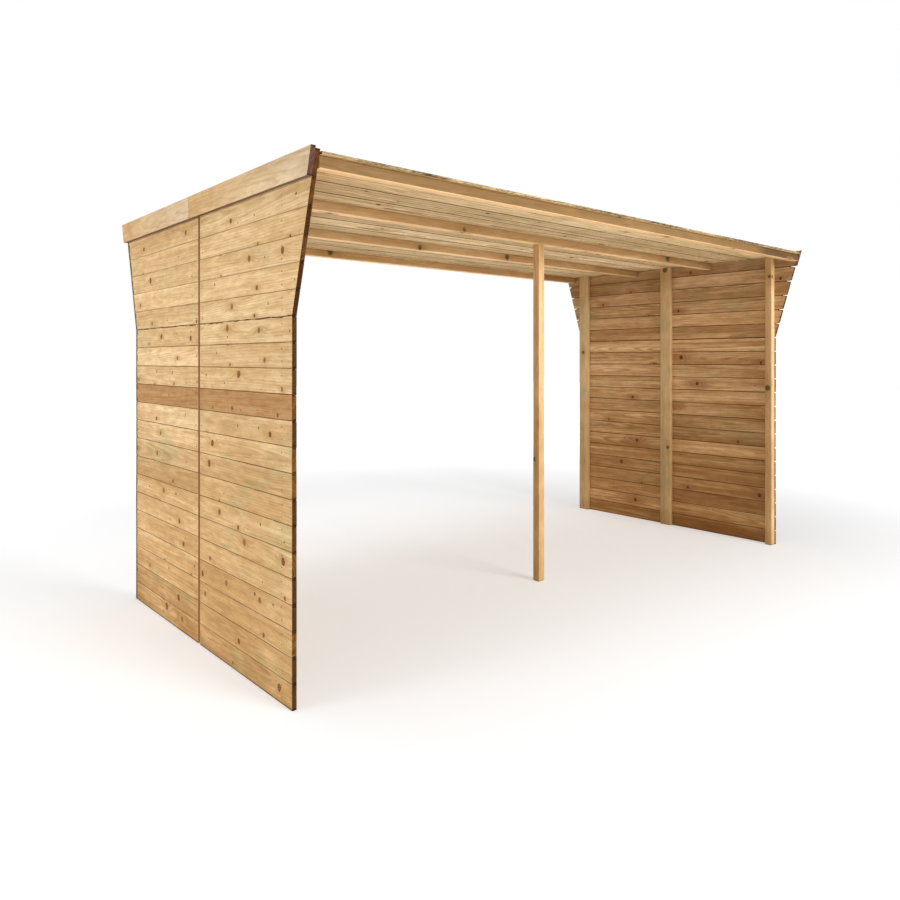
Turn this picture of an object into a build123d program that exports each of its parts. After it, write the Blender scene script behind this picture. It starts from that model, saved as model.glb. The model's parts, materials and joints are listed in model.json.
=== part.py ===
"""Open-fronted log store: two flared side walls, a flat roof on four purlins and one middle post.

Millimetres, +Z up. X runs along the length, the open front faces -Y, and the origin
is on the ground at the middle of the store.
"""

import os

from build123d import *

# Overall sizes
length = 3720  # outer face of one wall's boards to the other's
foot_depth = 1680  # depth of each wall at the ground
flare = 165  # how far each wall leans out at its top, front and back

# Boarding of the walls
course = 95  # cover height of one wall board
lower_courses = 15
upper_courses = 6
wall_thickness = 20
wall_gap = 20  # slot between the front and back half of a wall

# Roof
roof_thickness = 12
roof_reveal = 8  # top of the roof boards below the top of the walls
roof_lip = 8  # roof boards past the walls' top corners, front and back

# Frame timber
purlin_width = 45
purlin_height = 45
purlin_count = 4
front_inset = 15  # roof's front edge to the first purlin
back_inset = 60  # roof's back edge to the last purlin
post_size = 45
batten_width = 90
batten_thickness = 28
front_setback = 60  # front edge of the left wall to the batten behind it

# Fascia boards on the outside of the walls
fascia_height = 100
fascia_thickness = 20
fascia_rise = 8  # top of the fascia boards above the top of the walls
fascia_joint = 75  # the butt joint of a pair of fascia boards behind the wall's middle

# Heights and places worked out from the sizes above
knee_height = course * lower_courses
wall_height = knee_height + course * upper_courses
fascia_top = wall_height + fascia_rise
fascia_foot = fascia_top - fascia_height
roof_top = wall_height - roof_reveal
roof_underside = roof_top - roof_thickness
purlin_underside = roof_underside - purlin_height
inner_face = length / 2 - wall_thickness
half_foot = foot_depth / 2
half_top = half_foot + flare
roof_edge = half_top + roof_lip
first_purlin = -roof_edge + front_inset + purlin_width / 2
last_purlin = roof_edge - back_inset - purlin_width / 2
purlin_pitch = (last_purlin - first_purlin) / (purlin_count - 1)
purlin_places = [first_purlin + number * purlin_pitch for number in range(purlin_count)]

SIDES = {"left": -1, "right": 1}
ENDS = {"front": -1, "back": 1}


def half_depth_at(height):
    """Return how far a wall's sloping edge lies from its middle at a height above the knee."""
    return half_foot + flare * (height - knee_height) / (wall_height - knee_height)


def export(part, label):
    """Label a finished piece and write it to its own STEP file."""
    part.label = label
    export_step(part, f"parts/{label}.step")


def upright_slab(outline, start, thickness):
    """Return a slab of constant thickness whose outline is given as (y, z) points from x = start."""
    with BuildPart() as slab:
        with BuildSketch(Plane.YZ.offset(start)):
            with BuildLine():
                Polyline(*outline, close=True)
            make_face()
        extrude(amount=thickness)
    return slab.part


def bar(low, high):
    """Return a rectangular bar between two opposite corners."""
    size = [top - bottom for bottom, top in zip(low, high)]
    with BuildPart(Plane(origin=low)) as piece:
        Box(*size, align=(Align.MIN, Align.MIN, Align.MIN))
    return piece.part


os.makedirs("parts", exist_ok=True)

# Side walls: each is a front and a back half, boarded below and above the knee
for side, sign in SIDES.items():
    wall_start = inner_face if sign > 0 else -length / 2
    for end, way in ENDS.items():
        slot_edge = way * wall_gap / 2
        lower = [
            (slot_edge, 0),
            (way * half_foot, 0),
            (way * half_foot, knee_height),
            (slot_edge, knee_height),
        ]
        upper = [
            (slot_edge, knee_height),
            (way * half_foot, knee_height),
            (way * half_top, wall_height),
            (slot_edge, wall_height),
        ]
        export(upright_slab(lower, wall_start, wall_thickness), f"{side}_wall_{end}_lower")
        export(upright_slab(upper, wall_start, wall_thickness), f"{side}_wall_{end}_upper")

# Fascia boards: one pair along the top of each wall, with ends cut to the wall's slope
for side, sign in SIDES.items():
    fascia_start = length / 2 if sign > 0 else -length / 2 - fascia_thickness
    for end, way in ENDS.items():
        outline = [
            (fascia_joint, fascia_foot),
            (way * half_depth_at(fascia_foot), fascia_foot),
            (way * half_depth_at(fascia_top), fascia_top),
            (fascia_joint, fascia_top),
        ]
        export(upright_slab(outline, fascia_start, fascia_thickness), f"{side}_fascia_{end}")

# Uprights inside each wall: battens over the slot and at the back edge, and a third one in front,
# a post at the edge of the right wall and a batten set back from the edge of the left wall
for side, sign in SIDES.items():
    post_x = sorted([sign * inner_face, sign * (inner_face - post_size)])
    batten_x = sorted([sign * inner_face, sign * (inner_face - batten_thickness)])
    batten_front = -half_foot + front_setback
    uprights = {
        "middle_batten": (batten_x, (-batten_width / 2, batten_width / 2)),
        "back_batten": (batten_x, (half_foot - batten_width, half_foot)),
    }
    if side == "right":
        uprights["front_post"] = (post_x, (-half_foot, -half_foot + post_size))
    else:
        uprights["front_batten"] = (batten_x, (batten_front, batten_front + batten_width))
    for name, (x_range, y_range) in uprights.items():
        low = (x_range[0], y_range[0], 0)
        high = (x_range[1], y_range[1], roof_underside)
        export(bar(low, high), f"{side}_{name}")

# Purlins from wall to wall, and the middle post under the second one
for number, place in enumerate(purlin_places, start=1):
    low = (-inner_face, place - purlin_width / 2, purlin_underside)
    high = (inner_face, place + purlin_width / 2, roof_underside)
    export(bar(low, high), f"purlin_{number}")

post_y = purlin_places[1]
low = (-post_size / 2, post_y - post_size / 2, 0)
high = (post_size / 2, post_y + post_size / 2, purlin_underside)
export(bar(low, high), "middle_post")

# Roof boarding in three strips that meet over the two inner purlins
roof_lines = [-roof_edge, purlin_places[1], purlin_places[2], roof_edge]
for name, start, stop in zip(["front", "middle", "back"], roof_lines, roof_lines[1:]):
    low = (-inner_face, start, roof_underside)
    high = (inner_face, stop, roof_top)
    export(bar(low, high), f"roof_boards_{name}")
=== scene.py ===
"""Looks of an open-fronted log store: boarded flared walls, a boarded roof, timbers and nails.

Metres, +Z up. X runs along the length and the open front faces -Y. Every place is worked
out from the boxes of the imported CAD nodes, and each piece stands for the node it covers.
"""

import json
import logging
import math
from collections.abc import Callable, Iterable, Sequence
from dataclasses import dataclass, replace
from enum import Enum

import bmesh
import bpy
from mathutils import Matrix, Vector

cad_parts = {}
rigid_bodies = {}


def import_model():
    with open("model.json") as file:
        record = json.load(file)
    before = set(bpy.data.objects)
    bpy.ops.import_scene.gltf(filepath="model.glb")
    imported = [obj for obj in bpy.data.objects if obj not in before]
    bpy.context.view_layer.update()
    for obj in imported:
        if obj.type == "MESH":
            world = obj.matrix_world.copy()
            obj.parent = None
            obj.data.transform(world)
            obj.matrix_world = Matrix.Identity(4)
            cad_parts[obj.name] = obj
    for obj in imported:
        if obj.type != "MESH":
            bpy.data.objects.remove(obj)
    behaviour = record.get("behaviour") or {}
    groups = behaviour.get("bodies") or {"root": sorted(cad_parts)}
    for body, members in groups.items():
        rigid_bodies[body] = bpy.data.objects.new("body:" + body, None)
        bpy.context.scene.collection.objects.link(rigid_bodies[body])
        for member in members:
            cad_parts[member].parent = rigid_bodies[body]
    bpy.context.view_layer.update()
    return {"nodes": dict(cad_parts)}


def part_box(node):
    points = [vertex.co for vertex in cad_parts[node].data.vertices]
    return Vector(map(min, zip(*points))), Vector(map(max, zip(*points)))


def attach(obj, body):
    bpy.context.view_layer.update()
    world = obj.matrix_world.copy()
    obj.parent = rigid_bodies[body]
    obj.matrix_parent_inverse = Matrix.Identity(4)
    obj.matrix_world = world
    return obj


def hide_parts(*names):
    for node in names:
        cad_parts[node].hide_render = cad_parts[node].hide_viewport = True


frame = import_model()
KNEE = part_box("left_wall_front_upper")[0].z  # the height where the walls begin to lean out

LOG = logging.getLogger("log_store")

Colour = tuple[float, float, float]
Point = tuple[float, float]
Pair = tuple[float, float]
Triple = tuple[float, float, float]
Value = object
Inputs = dict[str | int, Value]

# Attributes that wooden pieces carry for their finish
GRAIN = "grain"  # metres: along the fibres, across the face, through the thickness
SEED = "seed"  # three random numbers from 0 to 1, the same all over one board
TONE = "tone"  # how much paler than its neighbours a board is, or darker below 0; on timbers also painted shade and a painted highlight on some faces
STAIN = "stain"  # 1 where dirt gathers in a joint, more at the knee, 0 on the open face
CUT = "cut"  # 1 on sawn ends, 0 on the long faces, in between on an underside darkened as painted shade
FROM_END = "from_end"  # metres to the nearer end of a boarding board
CORNER = "corner"  # 1 along the tongue, whose end is notched on a wall's edge

DARK_TONE = -20.0  # the tone that marks a board of darker heartwood

# Heights between which a finish changes
KNEE_FADE = (KNEE - 0.045, KNEE + 0.035)  # sawn ends, from their low colour to their high one
JOINT_FADE = (1.2, 1.6)  # joints, from their low strength to their high one
ROOF_FADE = (1.55, 1.85)  # the inner side, into the painted shade under the roof

BACK_PART = 0.5  # further back than this, a wall's end is its back edge
SLOT_ENDS = (0.02, 0.03)  # sawn ends nearer a wall's middle than this lie in its slot


class Side(Enum):
    """The two side walls, with the way each faces along X."""

    LEFT = -1
    RIGHT = 1

    @property
    def label(self) -> str:
        """The word that starts the names of this wall's nodes."""
        return self.name.lower()


class End(Enum):
    """The two halves of a side wall, with the way each lies along Y."""

    FRONT = -1
    BACK = 1

    @property
    def label(self) -> str:
        """The word for this half in the names of nodes."""
        return self.name.lower()


class BoardKind(Enum):
    """The board shapes in a run of boarding, in the order that the tree picks them."""

    FOOT = 0
    FIELD = 1
    HEAD = 2


# ---------------------------------------------------------------------------
# Node graphs
# ---------------------------------------------------------------------------


def _sign(operation: str, swapped: bool = False) -> Callable[["Wire", Value], "Wire"]:
    """Make the method for one sign of arithmetic.

    Args:
        operation: The operation of the node that the sign adds.
        swapped: Whether the wire is the second of the two values.

    Returns:
        The method.
    """

    def method(wire: "Wire", other: Value) -> "Wire":
        """Add the node and return its output."""
        pair = (other, wire) if swapped else (wire, other)
        return wire.graph.compute(operation, *pair)

    return method


class Wire:
    """A node's output, with signs of arithmetic that add the nodes to work them out."""

    def __init__(self, graph: "Graph", socket: bpy.types.NodeSocket) -> None:
        """Take an output of a node in a graph."""
        self.graph = graph
        self.socket = socket

    __add__ = _sign("ADD")
    __mul__ = _sign("MULTIPLY")
    __sub__ = _sign("SUBTRACT")
    __rsub__ = _sign("SUBTRACT", swapped=True)
    __truediv__ = _sign("DIVIDE")
    __pow__ = _sign("POWER")
    __gt__ = _sign("GREATER_THAN")
    __lt__ = _sign("LESS_THAN")

    def __abs__(self) -> "Wire":
        """Return the number without its sign."""
        return self.graph.math("ABSOLUTE", self)


def pick(sockets: Iterable[bpy.types.NodeSocket], key: str | int) -> bpy.types.NodeSocket:
    """Find a socket of a node.

    Args:
        sockets: The node's inputs or outputs.
        key: The socket's number, or its name.

    Returns:
        The socket, which is the first usable one of its name.
    """
    if isinstance(key, int):
        return sockets[key]
    return next(socket for socket in sockets if socket.name == key and socket.enabled)


class Graph:
    """A node tree with short calls for adding nodes and feeding their sockets."""

    def __init__(self, tree: bpy.types.NodeTree) -> None:
        """Work on a shader or geometry node tree."""
        self.tree = tree

    @classmethod
    def of(cls, owner: bpy.types.Material | bpy.types.World) -> "Graph":
        """Start the nodes of a material or of the world afresh.

        Args:
            owner: The material or world, whose own nodes are cleared away.

        Returns:
            The graph of its empty node tree.
        """
        owner.use_nodes = True
        owner.node_tree.nodes.clear()
        return cls(owner.node_tree)

    def feed(self, socket: bpy.types.NodeSocket, value: Value) -> None:
        """Link an output to a socket, or set the socket's own value.

        Args:
            socket: A node's input.
            value: A wire, another node's output or a plain value.
        """
        value = value.socket if isinstance(value, Wire) else value
        if isinstance(value, bpy.types.NodeSocket):
            self.tree.links.new(value, socket)
        else:
            socket.default_value = value

    def add(self, kind: str, inputs: Inputs | None = None, **settings: Value) -> bpy.types.Node:
        """Add a node.

        Args:
            kind: The node's type name.
            inputs: A value or another node's output for each input, by name or number.
            **settings: Properties to set on the node before its inputs are fed.

        Returns:
            The new node.
        """
        node = self.tree.nodes.new(kind)
        for name, value in settings.items():
            setattr(node, name, value)
        for key, value in (inputs or {}).items():
            self.feed(pick(node.inputs, key), value)
        return node

    def wire(self, kind: str, inputs: Inputs | None = None, out: str | int = 0, **settings: Value) -> Wire:
        """Add a node and return one of its outputs, by name or number."""
        return Wire(self, pick(self.add(kind, inputs, **settings).outputs, out))

    def compute(self, operation: str, *values: Value) -> Wire:
        """Work out two values by the node for their kind.

        Args:
            operation: The node's operation.
            *values: The two values. With a colour among them they are mixed as colours, and
                with a vector among them part by part.

        Returns:
            The result.
        """
        kinds = {value.socket.type for value in values if isinstance(value, Wire)}
        if "RGBA" in kinds:
            return self.tint(1.0, *values, blend=operation)
        return self.vector(operation, *values) if "VECTOR" in kinds else self.math(operation, *values)

    def math(self, operation: str, *values: Value, clamp: bool = False) -> Wire:
        """Return the result of a Math node, held between 0 and 1 if clamp is set."""
        return self.wire("ShaderNodeMath", dict(enumerate(values)), operation=operation, use_clamp=clamp)

    def vector(self, operation: str, *values: Value) -> Wire:
        """Return the vector that a Vector Math node puts out, or its length where it has one."""
        out = "Value" if operation in ("LENGTH", "DOT_PRODUCT") else "Vector"
        return self.wire("ShaderNodeVectorMath", dict(enumerate(values)), out, operation=operation)

    def split(self, value: Value, kind: str = "ShaderNodeSeparateXYZ") -> list[Wire]:
        """Return the three parts of a vector, or of a colour by the node for it."""
        return [Wire(self, socket) for socket in self.add(kind, {0: value}).outputs]

    def combine(self, x: Value, y: Value, z: Value) -> Wire:
        """Return a vector made of three parts."""
        return self.wire("ShaderNodeCombineXYZ", {0: x, 1: y, 2: z})

    def ramp(self, value: Value, start: Value, stop: Value, low: Value = 0.0, high: Value = 1.0) -> Wire:
        """Return a smooth step between two levels.

        Args:
            value: The number that drives the step.
            start: Where the step begins.
            stop: Where it ends.
            low: The result up to start.
            high: The result from stop on.

        Returns:
            The result.
        """
        inputs = {0: value, 1: start, 2: stop, 3: low, 4: high}
        return self.wire("ShaderNodeMapRange", inputs, interpolation_type="SMOOTHSTEP")

    def mix(self, factor: Value, first: Value, second: Value) -> Wire:
        """Return a number part of the way from the first to the second."""
        return self.wire("ShaderNodeMix", {0: factor, 2: first, 3: second}, data_type="FLOAT")

    def tint(self, factor: Value, first: Value, second: Value, blend: str = "MIX") -> Wire:
        """Return a colour mixed from two colours.

        Args:
            factor: The share of the second colour.
            first: The colour below, as a wire or three numbers.
            second: The colour above, as a wire or three numbers.
            blend: How the second is laid over the first.

        Returns:
            The colour.
        """
        below, above = [colour if isinstance(colour, Wire) else (*colour, 1.0) for colour in (first, second)]
        inputs = {0: factor, 6: below, 7: above}
        return self.wire("ShaderNodeMix", inputs, 2, data_type="RGBA", blend_type=blend)

    def cast(self, factor: Value, colour: Wire, light: Value) -> Wire:
        """Return a colour multiplied by another one in part."""
        return self.tint(factor, colour, colour * light)

    def noise(self, vector: Value, detail: float = 2.0, roughness: float = 0.5) -> Wire:
        """Return a noise value, about 0.5 on average, at a vector that is already scaled."""
        inputs = {"Vector": vector, "Scale": 1.0, "Detail": detail, "Roughness": roughness}
        return self.wire("ShaderNodeTexNoise", inputs)

    def attribute(self, name: str, out: str = "Fac") -> Wire:
        """Return an attribute of the mesh in a material: Fac for a number, Vector for a vector."""
        return self.wire("ShaderNodeAttribute", out=out, attribute_name=name)

    def group(self, tree: bpy.types.NodeTree, inputs: Inputs) -> dict[str, Wire]:
        """Place a shader node group with its own values and return its outputs by name."""
        node = self.add("ShaderNodeGroup", inputs, node_tree=tree)
        return {socket.name: Wire(self, socket) for socket in node.outputs}

    def surface(self, inputs: Inputs) -> None:
        """Put out a Principled shader with these values as the material's surface."""
        self.add("ShaderNodeOutputMaterial", {"Surface": self.wire("ShaderNodeBsdfPrincipled", inputs)})


class TreeBuilder(Graph):
    """A new node group whose inputs are named when it is made, and its outputs at the end."""

    SOCKETS = {bool: "Bool", int: "Int", float: "Float", tuple: "Vector"}

    def __init__(self, name: str, kind: str, inputs: dict[str, Value]) -> None:
        """Make an empty group with its inputs.

        Args:
            name: The group's name.
            kind: ShaderNodeTree or GeometryNodeTree.
            inputs: For each input its default, or its kind of socket where it has none.
        """
        super().__init__(bpy.data.node_groups.new(name, kind))
        for label, default in inputs.items():
            socket_kind = default if isinstance(default, str) else self.SOCKETS[type(default)]
            socket = self._socket(label, "INPUT", socket_kind)
            if not isinstance(default, str):
                socket.default_value = default
        sockets = self.tree.nodes.new("NodeGroupInput").outputs
        self.inputs = {socket.name: Wire(self, socket) for socket in sockets if socket.name in inputs}

    def _socket(self, label: str, way: str, kind: str) -> bpy.types.NodeTreeInterfaceSocket:
        """Give the group a socket."""
        return self.tree.interface.new_socket(label, in_out=way, socket_type=f"NodeSocket{kind}")

    def put(self, **values: Wire) -> bpy.types.NodeTree:
        """Put values out, with the spaces in their names written as underscores.

        Args:
            **values: A number or a geometry for each output.

        Returns:
            The finished tree.
        """
        for name, value in values.items():
            kind = "Geometry" if value.socket.type == "GEOMETRY" else "Float"
            self._socket(name.replace("_", " "), "OUTPUT", kind)
        outputs = self.tree.nodes.new("NodeGroupOutput").inputs
        for name, value in values.items():
            self.feed(outputs[name.replace("_", " ")], value)
        return self.tree


# ---------------------------------------------------------------------------
# Effects that the wood finishes share
# ---------------------------------------------------------------------------


def build_figure_group() -> bpy.types.NodeTree:
    """Build the growth rings, streaks and fibres of sawn softwood.

    The rings lie about a pith that runs along the board at a small tilt, so they show as
    long lines near a board's edges and as nested arches near its middle.

    Returns:
        The group, which puts out masks from 0 to 1.
    """
    inputs = {
        "Grain": "Vector",
        "Seed": "Vector",
        "Ring Spacing": 0.004,
        "Pith Depth": 0.03,
        "Tilt": 0.04,
        "Bend": 0.0,
        "Fleck Length": 1.0,
        "Waver": 0.006,
    }
    g = TreeBuilder("softwood_figure", "ShaderNodeTree", inputs)
    grain, seed = g.inputs["Grain"], g.inputs["Seed"]
    along, across, through = g.split(grain)
    pick_pith, pick_depth, pick_tilt = g.split(seed)
    place = grain + seed * (37.0, 23.0, 51.0)

    # How far each point lies from the pith, with the bends and wavers of a real trunk
    wander = g.noise(place * (1.1, 5.0, 5.0), 1.0) - 0.5
    waver = g.noise(place * (6.0, 24.0, 24.0)) - 0.5
    offset = across - (pick_pith - 0.5) * 0.085 + wander * 0.05
    tilt = (pick_tilt - 0.5) * g.inputs["Tilt"]
    depth = through + g.inputs["Pith Depth"] * (pick_depth + 0.25) + along * tilt
    radius = g.math("SQRT", offset**2.0 + depth**2.0)
    radius = radius + waver * g.inputs["Waver"] + g.inputs["Bend"]

    # One dark line of latewood a year, some years stronger than others
    growth = g.mix(g.math("FRACT", pick_pith * 7.31), 0.65, 1.5)
    years = radius / (g.inputs["Ring Spacing"] * growth)
    years = years + g.noise(g.combine(years, pick_depth, 0.0), 1.0) * 0.9
    part = g.math("FRACT", years)
    latewood = g.ramp(part, 0.30, 0.88) * g.ramp(part, 0.90, 1.0, 1.0, 0.0)
    year = g.combine(g.math("FLOOR", years), pick_pith, 0.0)
    strength = g.ramp(g.noise(year, 0.0), 0.25, 0.75, 0.35, 1.0)

    drawn_out = place * (14.0, 230.0, 120.0) / g.combine(g.inputs["Fleck Length"], 1.0, 1.0)
    return g.put(
        Rings=latewood * strength,
        Streaks=g.ramp(g.noise(place * (1.3, 55.0, 40.0), 3.0, 0.6), 0.30, 0.70),
        Bands=g.ramp(g.noise(place * (0.7, 16.0, 9.0), 2.0, 0.55), 0.32, 0.68),
        Mottle=g.ramp(g.noise(place * (11.0, 44.0, 30.0), 3.0, 0.6), 0.30, 0.68),
        Fibres=g.ramp(g.noise(place * (9.0, 900.0, 500.0), 2.0, 0.7), 0.25, 0.75),
        Flecks=g.ramp(g.noise(drawn_out, 2.0, 0.6), 0.60, 0.72),
    )


def build_knot_group() -> bpy.types.NodeTree:
    """Build the knots: at most one in each length of board, of random size and darkness.

    Returns:
        The group, which puts out the knot, its dark rind and core, the glow of resin
        beside it and how far the rings bend to pass it, in metres.
    """
    inputs = {
        "Grain": "Vector",
        "Seed": "Vector",
        "Spacing": 0.3,
        "Board Width": 0.095,
        "Radius": 0.009,
        "Share": 0.6,
        "Roundness": 0.0,
        "Halo": 2.5,
    }
    g = TreeBuilder("softwood_knots", "ShaderNodeTree", inputs)
    grain, seed = g.inputs["Grain"], g.inputs["Seed"]
    spacing, width = g.inputs["Spacing"], g.inputs["Board Width"]
    along, across, through = g.split(grain)
    shift_along, shift_across, _ = g.split(seed * (29.0, 17.0, 1.0))
    row = across / width + 0.5 + g.math("FLOOR", shift_across)
    place = g.combine(along / spacing + shift_along, row, 0.0)
    cells = g.add(
        "ShaderNodeTexVoronoi",
        {"Vector": place, "Scale": 1.0, "Randomness": 0.75},
        voronoi_dimensions="2D",
        feature="F1",
    ).outputs
    pick_share, pick_size, pick_dark = g.split(cells["Color"], "ShaderNodeSeparateColor")
    away_along, away_across, _ = g.split(place - Wire(g, cells["Position"]))
    away_along, away_across = away_along * spacing, away_across * width
    away_through = (through - (pick_dark - 0.5) * width) * g.inputs["Roundness"]

    rough = g.noise((grain + seed) * (260.0, 260.0, 80.0)) - 0.5
    uneven = g.noise((grain + seed) * (90.0, 90.0, 60.0), 1.0) - 0.5
    flat = g.vector("LENGTH", g.combine(away_along / 0.92, away_across, away_through))
    flat = (flat + rough * 0.003) * (uneven * 0.8 + 1.0)
    long = g.vector("LENGTH", g.combine(away_along / 3.0, away_across, away_through))
    present = pick_share < g.inputs["Share"]
    radius = g.inputs["Radius"] * (pick_size * 0.8 + 0.45)

    near, beside = flat / radius, long / radius
    ring = g.ramp(near, 0.55, 0.85) * g.ramp(near, 1.0, 1.35, 1.0, 0.0) * (pick_dark + 0.25)
    core = g.ramp(near, 0.1, 0.62, 1.0, 0.0) * (pick_dark + 0.15)
    glow = g.ramp(beside * 2.5 / g.inputs["Halo"], 0.4, 2.5, 1.0, 0.0)
    return g.put(
        Knot=g.ramp(near, 0.72, 1.05, 1.0, 0.0) * present,
        Rind=g.math("MULTIPLY", g.math("MAXIMUM", ring, core), present, clamp=True),
        Glow=glow * present * g.ramp(rough + uneven, -0.35, 0.25, 0.55, 1.0),
        Bend=g.ramp(beside, 0.0, 2.6, 1.0, 0.0) * present * 0.014,
    )


def build_treatment_group() -> bpy.types.NodeTree:
    """Build the uneven colour that pressure treatment and the weather leave.

    Returns:
        The group, which puts out masks for the green cast, for sun-bleached patches, for the
        soiled lower part of the walls, for the splashed boards at their foot and for a thin dark
        line along the foot of the boards.
    """
    g = TreeBuilder("treatment_cast", "ShaderNodeTree", {"Position": "Vector", "Seed": "Vector"})
    position, seed = g.inputs["Position"], g.inputs["Seed"]
    _, pick_green, pick_bleach = g.split(seed)
    height = g.split(position)[2]
    place = position + seed * (0.15, 0.15, 0.05)
    cloud = g.noise(place * (2.6, 2.6, 4.5), 3.0, 0.6)
    second = g.noise((place + (7.3, 1.9, 4.4)) * (1.7, 1.7, 3.2))
    belt = g.ramp(height, 0.85, 1.2) * g.ramp(height, 1.5, 1.95, 1.0, 0.0)
    return g.put(
        Green=g.ramp(cloud + pick_green * 0.08, 0.60, 0.72),
        Bleached=g.ramp(second + pick_bleach * 0.12 + belt * 0.50, 0.50, 0.76),
        Soiled=g.ramp(height + (cloud - 0.5) * 0.8, 0.0, 1.15, 1.0, 0.0),
        Splashed=g.ramp(height + (second - 0.5) * 0.30, 0.04, 0.17, 1.0, 0.0),
        Wet=g.ramp(height + cloud * 0.006, 0.007, 0.013, 1.0, 0.0),
    )


def build_joint_group() -> bpy.types.NodeTree:
    """Build the dark stain in joints, the worn line at the knee and the saw's ridges.

    Returns:
        The group, with the stain and the line broken up so that neither is a clean one.
    """
    inputs = {"Grain": "Vector", "Seed": "Vector", "Position": "Vector", "Stain": 0.0, "Saw Pitch": 0.003}
    g = TreeBuilder("joints_and_ridges", "ShaderNodeTree", inputs)
    grain, stain = g.inputs["Grain"], g.inputs["Stain"]
    place = grain + g.inputs["Seed"] * (11.0, 19.0, 13.0)
    ragged = g.noise(place * (45.0, 160.0, 160.0), 3.0, 0.6)
    slow = g.noise(place * (3.0, 9.0, 9.0), 1.0)
    level = stain + (ragged - 0.5) * 0.7 + (slow - 0.5) * 0.7

    _, run, up = g.split(g.inputs["Position"])
    line = g.combine(run * 7.0, run * 1.3, 0.0)
    drop = (g.noise(line, 3.0, 0.6) - 0.5) * 0.022
    depth = g.ramp(g.noise(line * (2.6, 1.0, 1.0), 2.0, 0.6), 0.36, 0.56)

    along, across, _ = g.split(grain)
    turns = (along + across * 0.22) / g.inputs["Saw Pitch"] + g.noise(place * (9.0, 14.0, 14.0), 1.0) * 2.0
    ridges = g.math("SINE", turns * math.tau) * 0.5 + 0.5
    return g.put(
        Joint=g.ramp(level, 0.25, 0.8) * (stain > 0.001),
        Worn_Line=g.ramp(abs(up - KNEE - drop), 0.0012, 0.0042, 1.0, 0.0) * depth,
        Saw_Ridges=ridges * g.ramp(g.noise(place * (14.0, 60.0, 60.0)), 0.42, 0.62),
    )


@dataclass(frozen=True)
class WoodEffects:
    """The shader groups that every wood finish places with its own values."""

    figure: bpy.types.NodeTree
    knots: bpy.types.NodeTree
    treatment: bpy.types.NodeTree
    joints: bpy.types.NodeTree

    @classmethod
    def build(cls) -> "WoodEffects":
        """Build each group once."""
        return cls(build_figure_group(), build_knot_group(), build_treatment_group(), build_joint_group())


@dataclass(frozen=True)
class WoodMasks:
    """What the shared effects and the mesh say at each point of a wooden piece."""

    figure: dict[str, Wire]
    knots: dict[str, Wire]
    pin_knots: dict[str, Wire]
    treatment: dict[str, Wire]
    joints: dict[str, Wire]
    pick_end: Wire  # a random number from 0 to 1 for each board
    across: Wire  # metres across the board from its middle
    inner: Wire  # 1 on the inner side of a board
    run: Wire  # metres towards the back of the store
    height: Wire


# ---------------------------------------------------------------------------
# Finishes
# ---------------------------------------------------------------------------


@dataclass(frozen=True)
class KnotPattern:
    """The knots of one size on a kind of board."""

    spacing: float  # metres from one place for a knot to the next along a board
    radius: float
    share: float  # of the places, how many have a knot
    halo: float = 2.5  # how far the glow around a knot reaches, in radii


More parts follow.
